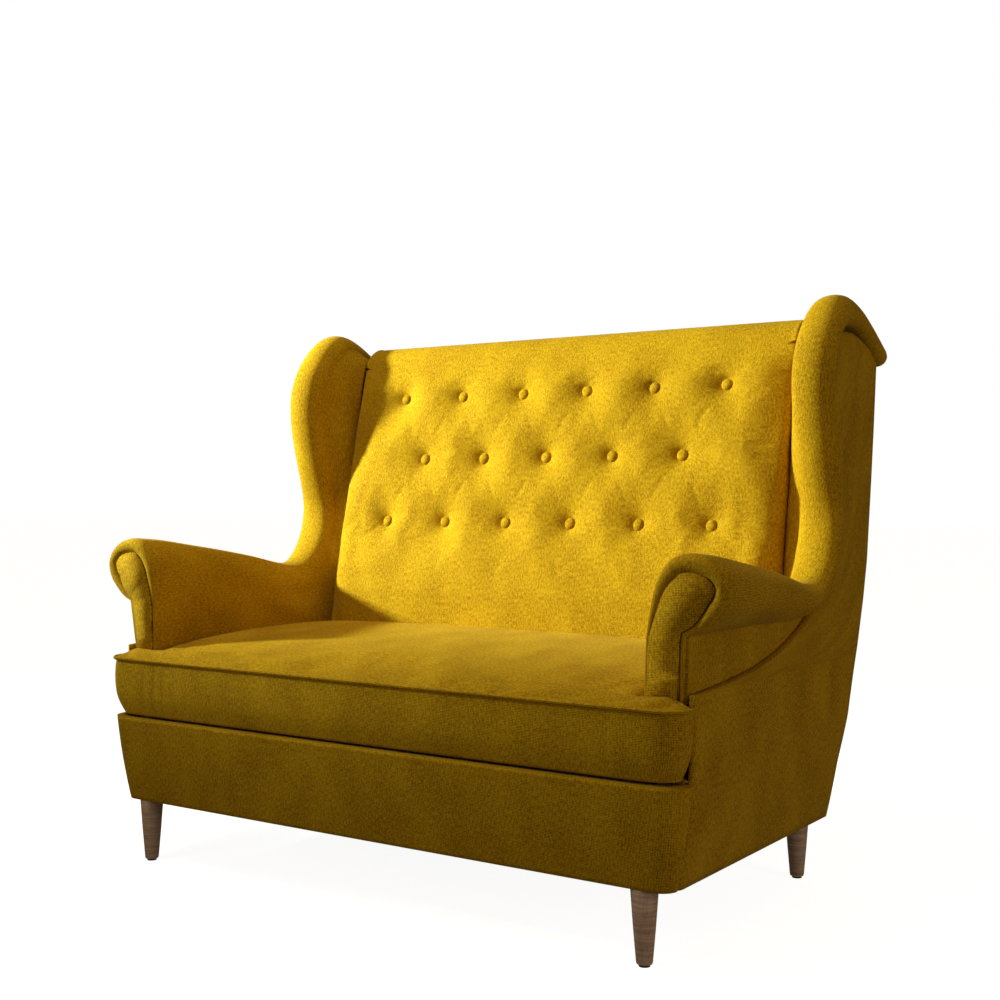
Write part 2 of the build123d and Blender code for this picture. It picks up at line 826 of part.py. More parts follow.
# ---------------------------------------------------------------- outer covers
def make_outer_sides():
    with BuildPart() as outer_side_right:
        with BuildSketch(Plane.YZ.offset(half)):
            add(side_face())
        extrude(amount=2 * side_pad_high)
        with BuildSketch(Plane.XZ):
            with BuildLine():
                Polyline(
                    (half, leg_top_z),
                    (body_half(leg_top_z), leg_top_z),
                    (body_half(taper_top), taper_top),
                    (body_half(taper_top) + 4, wing_top_z),
                    (panel_inner, wing_top_z),
                    (panel_inner, rail_top),
                    (half, rail_top),
                    close=True,
                )
            make_face()
        extrude(amount=2 * frame_width, both=True, mode=Mode.INTERSECT)
    outer_side_right.part.label = "outer_side_right"
    export_step(outer_side_right.part, "parts/outer_side_right.step")
    outer_side_left = mirrored(outer_side_right.part)
    outer_side_left.part.label = "outer_side_left"
    export_step(outer_side_left.part, "parts/outer_side_left.step")


def make_outer_back():
    with BuildPart() as outer_back:
        with BuildSketch(Plane.YZ):
            with BuildLine():
                FilletPolyline(
                    *rear_line(0),
                    *reversed(rear_line(rear_skin)),
                    radius=[0, 250, 250, 0, 0, 250, 250, 0],
                    close=True,
                )
            make_face()
        extrude(amount=2 * side_half, both=True)
        with BuildSketch(Plane.XZ):
            with BuildLine():
                Polyline(
                    (-side_half_low, leg_top_z),
                    (side_half_low, leg_top_z),
                    (side_half, taper_top),
                    (side_half + 4, wing_top_z),
                    (-side_half - 4, wing_top_z),
                    (-side_half, taper_top),
                    close=True,
                )
            make_face()
        extrude(amount=2 * frame_width, both=True, mode=Mode.INTERSECT)
    outer_back.part.label = "outer_back"
    export_step(outer_back.part, "parts/outer_back.step")


def make_front_band():
    with BuildPart() as front_band:
        for z in (leg_top_z, band_top):
            turn = min(corner_radius, side_seam_y - body_front(z) - 2)
            with BuildSketch(Plane.XY.offset(z)):
                with BuildLine():
                    FilletPolyline(
                        (-body_half(z), side_seam_y),
                        (-body_half(z), body_front(z)),
                        (body_half(z), body_front(z)),
                        (body_half(z), side_seam_y),
                        radius=[0, turn, turn, 0],
                        close=True,
                    )
                make_face()
        loft(ruled=True)
        with BuildSketch(Plane.XY.offset(leg_top_z)):
            with Locations((0, frame_front_y)):
                Rectangle(frame_width, 2 * block_size, align=(Align.CENTER, Align.MIN))
        extrude(amount=2 * rail_height, mode=Mode.SUBTRACT)
    front_band.part.label = "front_band"
    export_step(front_band.part, "parts/front_band.step")


def make_dust_cover():
    with BuildPart() as dust_cover:
        with BuildSketch(Plane.XY.offset(leg_top_z)):
            with Locations((0, frame_front_y)):
                Rectangle(frame_width, frame_rear_y - frame_front_y, align=(Align.CENTER, Align.MIN))
            with Locations(*leg_places()):
                Circle(bolt_radius + 1, mode=Mode.SUBTRACT)
        extrude(amount=cover_thickness)
    dust_cover.part.label = "dust_cover"
    export_step(dust_cover.part, "parts/dust_cover.step")

    edge = board / 2
    across = int((frame_width - 2 * block_size) / staple_pitch)
    along = int((frame_rear_y - frame_front_y - 2 * block_size) / staple_pitch)
    middle = (frame_front_y + frame_rear_y) / 2
    with BuildPart() as cover_staples:
        with BuildSketch(Plane.XY.offset(leg_top_z - staple_wire)):
            for y in (frame_front_y + edge, frame_rear_y - edge):
                with Locations((0, y)):
                    with GridLocations(staple_pitch, 1, across, 1):
                        Rectangle(staple_width, 2 * staple_wire)
            for x in (-half + edge, half - edge):
                with Locations((x, middle)):
                    with GridLocations(1, staple_pitch, 1, along):
                        Rectangle(2 * staple_wire, staple_width)
        extrude(amount=staple_wire)
    cover_staples.part.label = "cover_staples"
    export_step(cover_staples.part, "parts/cover_staples.step")


# ---------------------------------------------------------------- legs
def make_leg(x, y, name):
    """Turned tapered leg, bored from the top for its hanger bolt."""
    with BuildPart() as leg:
        with BuildSketch(Plane(origin=(x, y, 0), x_dir=(1, 0, 0), z_dir=(0, -1, 0))):
            with BuildLine():
                Polyline(
                    (0, glide_height),
                    (leg_radius_foot - 3, glide_height),
                    (leg_radius_foot, glide_height + 4),
                    (leg_radius_top, leg_top_z),
                    (0, leg_top_z),
                    close=True,
                )
            make_face()
        revolve(axis=Axis((x, y, 0), (0, 0, 1)))
        with BuildSketch(Plane(origin=(x, y, leg_top_z))):
            Circle(bolt_radius + running_gap)
        extrude(amount=-(bolt_in_leg + 2), mode=Mode.SUBTRACT)
    leg.part.label = name
    export_step(leg.part, "parts/" + name + ".step")


def make_leg_fixings():
    with BuildPart() as hanger_bolts:
        with BuildSketch(Plane.XY.offset(leg_top_z - bolt_in_leg)):
            with Locations(*leg_places()):
                Circle(bolt_radius)
        extrude(amount=bolt_in_leg + cover_thickness + bolt_in_block)
    hanger_bolts.part.label = "hanger_bolts"
    export_step(hanger_bolts.part, "parts/hanger_bolts.step")

    with BuildPart() as leg_inserts:
        with BuildSketch(Plane.XY.offset(base_z)):
            with Locations(*leg_places()):
                Circle(insert_radius)
                Circle(bolt_radius + running_gap, mode=Mode.SUBTRACT)
        extrude(amount=bolt_in_block)
    leg_inserts.part.label = "leg_inserts"
    export_step(leg_inserts.part, "parts/leg_inserts.step")

    with BuildPart() as foot_glides:
        with BuildSketch(Plane.XY):
            with Locations(*leg_places()):
                Circle(leg_radius_foot - 4)
        extrude(amount=glide_height)
    foot_glides.part.label = "foot_glides"
    export_step(foot_glides.part, "parts/foot_glides.step")


make_rails()
make_corner_block(frame_front_y, Align.MIN, "front")
make_corner_block(frame_rear_y, Align.MAX, "rear")
make_posts()
make_arm_boards()
make_wing_panels()
make_back_rails()
make_back_straps()
make_springs()
make_felt()
make_seat()
make_back_cushion()
make_buttons()
make_wing_pads()
make_arm_pads()
make_arm_facings()
make_outer_arms()
make_outer_sides()
make_outer_back()
make_front_band()
make_dust_cover()
make_leg(leg_x, leg_front_y, "leg_front_right")
make_leg(-leg_x, leg_front_y, "leg_front_left")
make_leg(leg_x, leg_rear_y, "leg_rear_right")
make_leg(-leg_x, leg_rear_y, "leg_rear_left")
make_leg_fixings()
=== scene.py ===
# Two-seat wing sofa with wooden legs: a hardwood frame on four turned legs, zigzag
# springs and webbing, foam padding, and one ochre woven cover over all of it.
import math

import bmesh
import bpy
import numpy as np
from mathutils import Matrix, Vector


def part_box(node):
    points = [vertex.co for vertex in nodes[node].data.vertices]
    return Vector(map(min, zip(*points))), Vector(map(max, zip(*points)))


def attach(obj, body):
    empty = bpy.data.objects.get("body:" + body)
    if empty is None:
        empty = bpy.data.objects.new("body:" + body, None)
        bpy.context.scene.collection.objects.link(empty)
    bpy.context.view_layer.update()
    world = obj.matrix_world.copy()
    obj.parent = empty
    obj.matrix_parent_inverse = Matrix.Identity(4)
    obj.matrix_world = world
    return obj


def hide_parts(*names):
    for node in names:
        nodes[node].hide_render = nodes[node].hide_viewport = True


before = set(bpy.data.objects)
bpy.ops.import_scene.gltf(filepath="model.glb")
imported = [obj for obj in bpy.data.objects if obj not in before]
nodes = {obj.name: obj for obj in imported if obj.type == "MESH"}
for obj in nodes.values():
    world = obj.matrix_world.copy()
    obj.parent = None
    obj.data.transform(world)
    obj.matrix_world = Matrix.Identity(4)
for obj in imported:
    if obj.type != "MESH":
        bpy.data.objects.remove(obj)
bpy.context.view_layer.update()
scene = bpy.context.scene


# ------------------------------------------------------------- wooden frame
# Rails, corner blocks, posts and arm boards are planed softwood, and the wing panels
# are plywood. They are dowelled and glued, and stay raw because the cover hides them.
def new_material(name, roughness):
    """A material with its Principled shader, and the tools to wire it."""
    made = bpy.data.materials.new(name)
    made.use_nodes = True
    tree = made.node_tree
    shader = tree.nodes["Principled BSDF"]
    shader.inputs["Roughness"].default_value = roughness
    return made, tree, shader


def noise_of(tree, source, scale, stretch, detail=3.0, rough=0.55):
    """Noise on a stretched copy of the coordinates."""
    mapping = tree.nodes.new("ShaderNodeMapping")
    mapping.inputs["Scale"].default_value = stretch
    tree.links.new(source, mapping.inputs["Vector"])
    noise = tree.nodes.new("ShaderNodeTexNoise")
    noise.inputs["Scale"].default_value = scale
    noise.inputs["Detail"].default_value = detail
    noise.inputs["Roughness"].default_value = rough
    tree.links.new(mapping.outputs["Vector"], noise.inputs["Vector"])
    return noise.outputs["Fac"]


def ramp_of(tree, value, stops):
    """Colours along a 0 to 1 value."""
    ramp = tree.nodes.new("ShaderNodeValToRGB")
    while len(ramp.color_ramp.elements) < len(stops):
        ramp.color_ramp.elements.new(0.5)
    for element, (place, colour) in zip(ramp.color_ramp.elements, stops):
        element.position = place
        element.color = (*colour, 1.0)
    tree.links.new(value, ramp.inputs["Fac"])
    return ramp.outputs["Color"]


def bump_of(tree, height, strength, distance, before=None):
    """Bump from a height, on top of another bump if there is one."""
    bump = tree.nodes.new("ShaderNodeBump")
    bump.inputs["Strength"].default_value = strength
    bump.inputs["Distance"].default_value = distance
    tree.links.new(height, bump.inputs["Height"])
    if before is not None:
        tree.links.new(before, bump.inputs["Normal"])
    return bump.outputs["Normal"]


def object_coords(tree):
    return tree.nodes.new("ShaderNodeTexCoord").outputs["Object"]


def pine(name, stretch, light, dark):
    """Planed wood whose grain is drawn out by the stretch."""
    made, tree, shader = new_material(name, 0.75)
    grain = noise_of(tree, object_coords(tree), 60.0, stretch, 5.0, 0.65)
    tree.links.new(ramp_of(tree, grain, [(0.3, dark), (0.7, light)]), shader.inputs["Base Color"])
    tree.links.new(bump_of(tree, grain, 0.3, 0.0006), shader.inputs["Normal"])
    return made


pine_across = pine("pine_across", (0.06, 1.0, 1.0), (0.62, 0.46, 0.27), (0.47, 0.32, 0.17))
pine_upright = pine("pine_upright", (1.0, 1.0, 0.06), (0.62, 0.46, 0.27), (0.47, 0.32, 0.17))
pine_back = pine("pine_back", (1.0, 0.06, 1.0), (0.62, 0.46, 0.27), (0.47, 0.32, 0.17))
birch_ply = pine("birch_ply", (1.0, 0.3, 0.06), (0.70, 0.56, 0.38), (0.58, 0.43, 0.27))


def finish_node(name, material):
    """Gives a part of the frame that stays as it is its real finish."""
    slots = nodes[name].data.materials
    slots.clear()
    slots.append(material)


for name in ("front_rail", "rear_rail", "back_lower_rail", "back_top_rail"):
    finish_node(name, pine_across)
for name in ("centre_stretcher", "side_rail_left", "side_rail_right", "arm_board_left",
             "arm_board_right"):
    finish_node(name, pine_back)
for end in ("front", "rear"):
    for side in ("left", "right"):
        finish_node(f"corner_block_{end}_{side}", pine_upright)
for name in ("front_post", "back_post", "wing_panel"):
    for side in ("left", "right"):
        finish_node(f"{name}_{side}", birch_ply if name == "wing_panel" else pine_upright)
finish_node("frame_dowels", pine_upright)


# ------------------------------------------------------------- springs and webbing
# Zigzag springs of drawn steel wire clip to the rails under a felt pad. Elastic straps
# are stapled behind the back, where each button's twine is tied to a toggle.
def metal(name, colour, roughness):
    """Drawn or plated steel, a little uneven in colour."""
    made, tree, shader = new_material(name, roughness)
    shader.inputs["Metallic"].default_value = 1.0
    worn = noise_of(tree, object_coords(tree), 90.0, (1, 1, 1), 4.0)
    darker = tuple(0.7 * part for part in colour)
    tree.links.new(ramp_of(tree, worn, [(0.35, darker), (0.65, colour)]), shader.inputs["Base Color"])
    return made


def felted(name, light, dark, scale):
    """A matt, fibrous or moulded surface."""
    made, tree, shader = new_material(name, 0.95)
    fibre = noise_of(tree, object_coords(tree), scale, (1, 1, 1), 6.0, 0.7)
    tree.links.new(ramp_of(tree, fibre, [(0.35, dark), (0.65, light)]), shader.inputs["Base Color"])
    tree.links.new(bump_of(tree, fibre, 0.5, 0.0008), shader.inputs["Normal"])
    shader.inputs["Sheen Weight"].default_value = 0.2
    return made


spring_steel = metal("spring_steel", (0.36, 0.36, 0.38), 0.35)
zinc_plate = metal("zinc_plate", (0.60, 0.60, 0.58), 0.40)
grey_felt = felted("grey_felt", (0.22, 0.21, 0.20), (0.12, 0.11, 0.11), 260.0)
strap_web = felted("strap_web", (0.16, 0.15, 0.14), (0.08, 0.08, 0.08), 500.0)
black_plastic = felted("black_plastic", (0.035, 0.035, 0.035), (0.025, 0.025, 0.025), 700.0)
black_lining = felted("black_lining", (0.030, 0.030, 0.032), (0.016, 0.016, 0.018), 420.0)
finish_node("seat_springs", spring_steel)
for name in ("spring_clips", "cover_staples", "hanger_bolts", "leg_inserts"):
    finish_node(name, zinc_plate)
finish_node("spring_felt", grey_felt)
for name in ("back_straps", "button_twines"):
    finish_node(name, strap_web)
for name in ("twine_toggles", "foot_glides"):
    finish_node(name, black_plastic)
finish_node("dust_cover", black_lining)


# ------------------------------------------------------------- legs
# Four turned legs of stained beech, widest at the top with a small chamfer at the
# foot. A hanger bolt screws each into its corner block, and a glide is nailed under it.
def stained_beech():
    made, tree, shader = new_material("stained_beech", 0.5)
    place = object_coords(tree)
    band = noise_of(tree, place, 26.0, (0.5, 0.5, 9.0), 4.0, 0.7)
    pore = noise_of(tree, place, 380.0, (1.0, 1.0, 0.25), 3.0)
    mix = tree.nodes.new("ShaderNodeMath")
    mix.operation = "MULTIPLY_ADD"
    mix.inputs[1].default_value = 0.3
    tree.links.new(pore, mix.inputs[0])
    tree.links.new(band, mix.inputs[2])
    stain = ramp_of(tree, mix.outputs[0], [
        (0.38, (0.200, 0.115, 0.075)),
        (0.55, (0.420, 0.260, 0.185)),
        (0.68, (0.550, 0.370, 0.275)),
        (0.86, (0.720, 0.510, 0.410)),
    ])
    tree.links.new(stain, shader.inputs["Base Color"])
    tree.links.new(bump_of(tree, mix.outputs[0], 0.35, 0.0006), shader.inputs["Normal"])
    shader.inputs["Coat Weight"].default_value = 0.12
    shader.inputs["Coat Roughness"].default_value = 0.4
    return made


def as_object(name, bm, material, smooth=True):
    """Makes a piece of a finished bmesh, riding on the sofa's one body."""
    mesh = bpy.data.meshes.new(name)
    bm.to_mesh(mesh)
    bm.free()
    mesh.materials.append(material)
    mesh.polygons.foreach_set("use_smooth", [smooth] * len(mesh.polygons))
    piece = bpy.data.objects.new(name, mesh)
    scene.collection.objects.link(piece)
    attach(piece, "root")
    return piece


beech = stained_beech()
for end in ("front", "rear"):
    for side in ("left", "right"):
        node = f"leg_{end}_{side}"
        low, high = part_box(node)
        axis = (low + high) / 2
        top = (high.x - low.x) / 2
        foot = top * 0.58
        bm = bmesh.new()
        profile = [(0, low.z), (foot - 0.003, low.z), (foot - 0.0008, low.z + 0.0012),
                   (foot, low.z + 0.004), (foot + (top - foot) * 0.5, (low.z + high.z) / 2),
                   (top - 0.0006, high.z - 0.002), (top - 0.002, high.z), (0, high.z)]
        chain = [bm.verts.new((axis.x + r, axis.y, z)) for r, z in profile]
        line = [bm.edges.new(pair) for pair in zip(chain, chain[1:])]
        bmesh.ops.spin(bm, geom=chain + line, cent=(axis.x, axis.y, 0), axis=(0, 0, 1),
                       angle=math.tau, steps=48, use_merge=True)
        bmesh.ops.remove_doubles(bm, verts=bm.verts, dist=1e-6)
        bmesh.ops.recalc_face_normals(bm, faces=bm.faces)
        leg = as_object(f"turned_{node}", bm, beech)
        leg.modifiers.new("arrises", "EDGE_SPLIT").split_angle = math.radians(40)
        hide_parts(node)


# ------------------------------------------------------------- ochre cover
# One chenille-like woven cloth covers everything: ochre yarn with darker flecks, the
# slubs running up the fronts and from front to back on the seat, and a soft sheen.
def ochre_weave():
    made, tree, shader = new_material("ochre_weave", 0.85)
    uv = tree.nodes.new("ShaderNodeUVMap")
    uv.uv_map = "weave"
    place = uv.outputs["UV"]
    slub = noise_of(tree, place, 300.0, (1.0, 0.45, 1.0), 3.0, 0.6)
    fleck = noise_of(tree, place, 620.0, (1.0, 0.80, 1.0), 2.0, 0.6)
    cloud = noise_of(tree, place, 11.0, (1.0, 0.55, 1.0), 3.0)

    def blend(a, b, factor):
        node = tree.nodes.new("ShaderNodeMix")
        node.inputs["Factor"].default_value = factor
        tree.links.new(a, node.inputs[2])
        tree.links.new(b, node.inputs[3])
        return node.outputs[0]

    def threads(direction):
        wave = tree.nodes.new("ShaderNodeTexWave")
        wave.bands_direction = direction
        wave.inputs["Scale"].default_value = 125.0
        wave.inputs["Distortion"].default_value = 1.8
        wave.inputs["Detail"].default_value = 2.0
        wave.inputs["Detail Scale"].default_value = 2.5
        tree.links.new(place, wave.inputs["Vector"])
        return wave.outputs["Fac"]

    web = blend(threads("X"), threads("Y"), 0.45)
    yarn = blend(blend(slub, fleck, 0.5), web, 0.22)
    tone = blend(cloud, yarn, 0.85)
    colour = ramp_of(tree, tone, [
        (0.41, (0.170, 0.076, 0.0005)),
        (0.47, (0.400, 0.205, 0.0020)),
        (0.53, (0.520, 0.285, 0.0050)),
        (0.60, (0.720, 0.440, 0.0160)),
    ])
    tree.links.new(colour, shader.inputs["Base Color"])
    relief = bump_of(tree, yarn, 0.45, 0.0011)
    tree.links.new(relief, shader.inputs["Normal"])
    shader.inputs["Sheen Weight"].default_value = 0.13
    shader.inputs["Sheen Roughness"].default_value = 0.35
    shader.inputs["Sheen Tint"].default_value = (1.0, 0.80, 0.25, 1.0)
    shader.inputs["Specular IOR Level"].default_value = 0.08
    return made


ochre = ochre_weave()


def drape(points, wrap=False, turn=0.0):
    """A sheet of cloth: a grid laid on rows of points, with the weave's UV in metres."""
    points = np.array(points, float)
    rows, cols = points.shape[:2]
    across = np.zeros((rows, cols))
    along = np.zeros((rows, cols))
    across[:, 1:] = np.cumsum(np.linalg.norm(np.diff(points, axis=1), axis=2), axis=1)
    along[1:] = np.cumsum(np.linalg.norm(np.diff(points, axis=0), axis=2), axis=0)
    across -= across[:, cols // 2][:, None]
    u = across * math.cos(turn) - along * math.sin(turn)
    v = across * math.sin(turn) + along * math.cos(turn)
    bm = bmesh.new()
    bmesh.ops.create_grid(bm, x_segments=cols - 1, y_segments=rows - 1, size=1.0)
    weave = bm.loops.layers.uv.new("weave")
    place = {}
    for vert in bm.verts:
        col = round((vert.co.x + 1) / 2 * (cols - 1))
        row = round((vert.co.y + 1) / 2 * (rows - 1))
        place[vert] = (row, col)
    for face in bm.faces:
        for loop in face.loops:
            loop[weave].uv = (u[place[loop.vert]], v[place[loop.vert]])
    for vert, cell in place.items():
        vert.co = points[cell]
    if wrap:
        bmesh.ops.remove_doubles(bm, verts=bm.verts, dist=1e-5)
    return bm


def smooth_through(points, count):
    """Evenly spaced points on a smooth curve through a few points."""
    points = np.array(points, float)
    ends = np.vstack([2 * points[0] - points[1], points, 2 * points[-1] - points[-2]])
    curve = []
    for a, b, c, d in zip(ends, ends[1:], ends[2:], ends[3:]):
        for t in np.linspace(0, 1, 12, endpoint=False):
            curve.append(0.5 * (2 * b + (c - a) * t + (2 * a - 5 * b + 4 * c - d) * t ** 2
                                + (3 * b - a - 3 * c + d) * t ** 3))
    curve.append(points[-1])
    curve = np.array(curve)
    run = np.concatenate([[0], np.cumsum(np.linalg.norm(np.diff(curve, axis=0), axis=1))])
    spots = np.linspace(0, run[-1], count)
    return np.stack([np.interp(spots, run, curve[:, k]) for k in range(curve.shape[1])], axis=1)


def thicken(piece, thickness):
    """Gives a draped sheet its padding, behind its outer face."""
    shell = piece.modifiers.new("padding", "SOLIDIFY")
    shell.thickness = thickness
    shell.offset = -1.0
    shell.use_rim = True


def cover(name, bm, replaced=(), flip=False):
    """A covered piece in the ochre cloth."""
    if flip:
        bmesh.ops.reverse_faces(bm, faces=bm.faces)
    piece = as_object(name, bm, ochre)
    if replaced:
        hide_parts(*replaced)
    return piece


# The body's outline, taken from the frame's covers
side_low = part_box("outer_side_right")[0]
band_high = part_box("front_band")[1]
back_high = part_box("outer_back")[1]
seat_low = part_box("seat_cushion")[0]
base_z = side_low.z
seam_y = side_low.y
UNDER_HALF = 0.601
SIDE_HALF = 0.630


def body_half(z):
    """Half the body's width at height z: it leans in towards the underside."""
    rise = np.clip((z - base_z) / 0.190, 0.0, 1.0)
    ease = rise * (1.35 - 0.35 * rise)
    return UNDER_HALF + (SIDE_HALF - UNDER_HALF) * ease + 0.004 * max(0.0, z - 0.5)


REAR_LINE = [(base_z, 0.244), (0.224, 0.254), (0.322, 0.283), (0.382, 0.306), (0.435, 0.329),
             (0.514, 0.357), (0.590, 0.376), (0.744, 0.395), (0.847, 0.406), (0.961, 0.416),
             (back_high.z, 0.421)]


def rear_y(z):
    """Y of the outer back at height z."""
    return np.interp(z, [p[0] for p in REAR_LINE], [p[1] for p in REAR_LINE])


# ------------------------------------------------------------- outer side panels
# Thin foam and cloth over board. Each runs from the seam behind the front corner to
# the rear corner, and its top edge sweeps up along the wing, recessed under the roll.
SIDE_EDGE = [(seam_y, 0.4165), (-0.348, 0.418), (-0.257, 0.423), (-0.153, 0.434), (-0.061, 0.452),
             (0.039, 0.485), (0.109, 0.524), (0.145, 0.550), (0.173, 0.591), (0.190, 0.651),
             (0.194, 0.700), (0.180, 0.760), (0.162, 0.826), (0.158, 0.895), (0.166, 0.959),
             (0.182, 1.000), (0.212, 1.014), (0.274, 1.017), (0.342, 1.001), (0.399, 0.979),
             (0.412, 0.970)]
edge_line = smooth_through(SIDE_EDGE, 120)
crest = int(np.argmax(edge_line[:, 1]))


def side_panel(side):
    """Rows of points from the underside to the top edge, front to rear in each."""
    rows = []
    near = [0.0, 0.0007, 0.0020, 0.0042, 0.0075, 0.0120]
    for z in np.concatenate([np.linspace(base_z, 0.416, 22), np.linspace(0.424, 1.0165, 60)]):
        front = np.interp(z, edge_line[:crest + 1, 1], edge_line[:crest + 1, 0])
        rear = min(rear_y(z) - 0.020, np.interp(-z, -edge_line[crest:, 1], edge_line[crest:, 0]))
        span = max(0.001, rear - front - near[-1])
        steps = near + [near[-1] + span * t for t in np.linspace(0, 1, 56)[1:]]
        rows.append([(side * (body_half(z) - 0.012 + math.sqrt(0.012 ** 2 - max(0.0, 0.012 - step) ** 2)),
                      min(front + step, max(rear, front)), z) for step in steps])
    return rows


for side, label in ((1, "right"), (-1, "left")):
    panel = cover(f"outer_side_cover_{label}", drape(side_panel(side)), (f"outer_side_{label}",),
                  flip=side < 0)
    thicken(panel, 0.010)


# ------------------------------------------------------------- outer back
# One stretched panel of cloth over board from the underside to the top edge. It bows
# out with the rear posts and turns the rear corners in a small radius.
def rear_strip(z):
    """Points round the back at height z, from the right side to the left side."""
    half = body_half(z)
    y = rear_y(z)
    turn = 0.024 - 0.010 * min(1.0, max(0.0, (z - 0.5) / 0.5))
    corner = [(half - turn + turn * math.cos(a), y - turn + turn * math.sin(a), z)
              for a in np.linspace(0, math.pi / 2, 9)]
    flat = [(x, y, z) for x in np.linspace(half - turn, -half + turn, 62)[1:-1]]
    right = [(half - 0.001, y - turn - 0.014, z)] + corner
    left = [(-x, yy, zz) for x, yy, zz in reversed(right)]
    return right + flat + left


back_panel = cover("outer_back_cover", drape([rear_strip(z) for z in np.linspace(base_z, 1.004, 90)]),
                   ("outer_back",))
thicken(back_panel, 0.008)


# ------------------------------------------------------------- lower front band
# Cloth over thin foam on the front rail. It leans in towards the underside and turns
# both front corners to the seam in front of the side panels.
FRONT_LOW = -0.3985
FRONT_HIGH = -0.4185


def front_strip(half, front, rear, turn, z, count=90):
    """Points round the front at height z, from the left seam to the right seam."""
    corner = [(half - turn + turn * math.sin(a), front + turn - turn * math.cos(a), z)
              for a in np.linspace(0, math.pi / 2, 12)]
    right = corner + [(half, y, z) for y in np.linspace(front + turn, rear, 5)[1:]]
    left = [(-x, y, zz) for x, y, zz in reversed(right)]
    flat = [(x, front, z) for x in np.linspace(-half + turn, half - turn, count)[1:-1]]
    return left + flat + right


rows = []
for z in np.linspace(base_z, band_high.z, 26):
    rise = (z - base_z) / (band_high.z - base_z)
    front = FRONT_LOW + (FRONT_HIGH - FRONT_LOW) * (rise * (1.4 - 0.4 * rise))
    rows.append(front_strip(body_half(z) - 0.002, front, seam_y - 0.001, 0.027 + 0.014 * rise, z))
z = band_high.z
for back, lift in ((0.002, 0.003), (0.006, 0.0045), (0.020, 0.0045)):
    rows.append(front_strip(body_half(z) - 0.002 - back, FRONT_HIGH + back, seam_y - 0.001,
                            0.040 - back, z + lift - 0.004))
band = cover("front_band_cover", drape(rows), ("front_band",))
thicken(band, 0.006)


# ------------------------------------------------------------- arms and wings
# Inside arm, scroll and wing are padded as one: the scroll leans out over the side,
# falls towards the back, and turns up into the fat roll that edges the wing.
# Each station has the roll's edge, the inner seam and the outer crease as (y, z), and
# how far the section has turned from arm to wing.
STATIONS = [
    ((-0.352, 0.6285), (-0.352, 0.400), (-0.352, 0.503), 0.0),
    ((-0.300, 0.6240), (-0.300, 0.405), (-0.300, 0.503), 0.0),
    ((-0.220, 0.6120), (-0.220, 0.410), (-0.220, 0.502), 0.0),
    ((-0.133, 0.5985), (-0.133, 0.412), (-0.133, 0.501), 0.0),
    ((-0.050, 0.5840), (-0.050, 0.414), (-0.046, 0.499), 0.0),
    ((0.010, 0.5710), (0.012, 0.414), (0.018, 0.498), 0.08),
    ((0.055, 0.5625), (0.062, 0.414), (0.064, 0.502), 0.20),
    ((0.088, 0.5640), (0.105, 0.414), (0.098, 0.520), 0.35),
    ((0.113, 0.5780), (0.145, 0.420), (0.135, 0.541), 0.52),
    ((0.137, 0.6060), (0.176, 0.472), (0.168, 0.584), 0.70),
    ((0.153, 0.6430), (0.186, 0.575), (0.187, 0.640), 0.86),
    ((0.158, 0.6860), (0.203, 0.684), (0.193, 0.693), 0.96),
    ((0.148, 0.7380), (0.216, 0.740), (0.185, 0.744), 1.0),
    ((0.130, 0.8000), (0.225, 0.803), (0.168, 0.805), 1.0),
    ((0.117, 0.8560), (0.232, 0.856), (0.157, 0.857), 1.0),
    ((0.111, 0.9080), (0.238, 0.908), (0.153, 0.908), 1.0),
    ((0.115, 0.9520), (0.243, 0.950), (0.158, 0.946), 1.0),
    ((0.133, 0.9980), (0.250, 0.985), (0.172, 0.980), 1.0),
    ((0.165, 1.0420), (0.257, 1.008), (0.195, 1.007), 1.0),
    ((0.203, 1.0740), (0.266, 1.020), (0.222, 1.022), 1.0),
    ((0.242, 1.0865), (0.280, 1.022), (0.262, 1.028), 1.0),
    ((0.290, 1.0750), (0.303, 1.014), (0.300, 1.022), 1.0),
    ((0.345, 1.0490), (0.344, 0.990), (0.346, 1.002), 1.0),
    ((0.392, 1.0245), (0.382, 0.968), (0.385, 0.980), 1.0),
    ((0.416, 1.0110), (0.404, 0.957), (0.407, 0.969), 1.0),
]
ARM_INNER = [(0.5420, 1.0, 1), (0.5430, 0.66, 1), (0.5450, 0.30, 1), (0.5510, 1.0, 0),
             (0.5600, 0.52, 0), (0.5800, 0.14, 0), (0.6120, 0.0, 0)]
WING_INNER = [(0.5310, 1.0, 1), (0.5400, 0.66, 1), (0.5530, 0.33, 1), (0.5640, 1.0, 0),
              (0.5690, 0.58, 0), (0.5830, 0.17, 0), (0.6070, 0.0, 0)]
ARM_OUTER = [(0.6530, 0.065), (0.6790, 0.24), (0.6860, 0.45), (0.6740, 0.70), (0.6420, 0.91),
             (0.6140, 1.0)]
WING_OUTER = [(0.6300, 0.07), (0.6450, 0.31), (0.6500, 0.57), (0.6470, 0.80), (0.6360, 0.96),
              (0.6170, 1.0)]
AROUND = 54
ARM_SIDE = 0.612
ARM_START = -0.352
ARM_RUN = 0.41
SCROLL_TAPER = 0.45
LEAN_END = -0.05


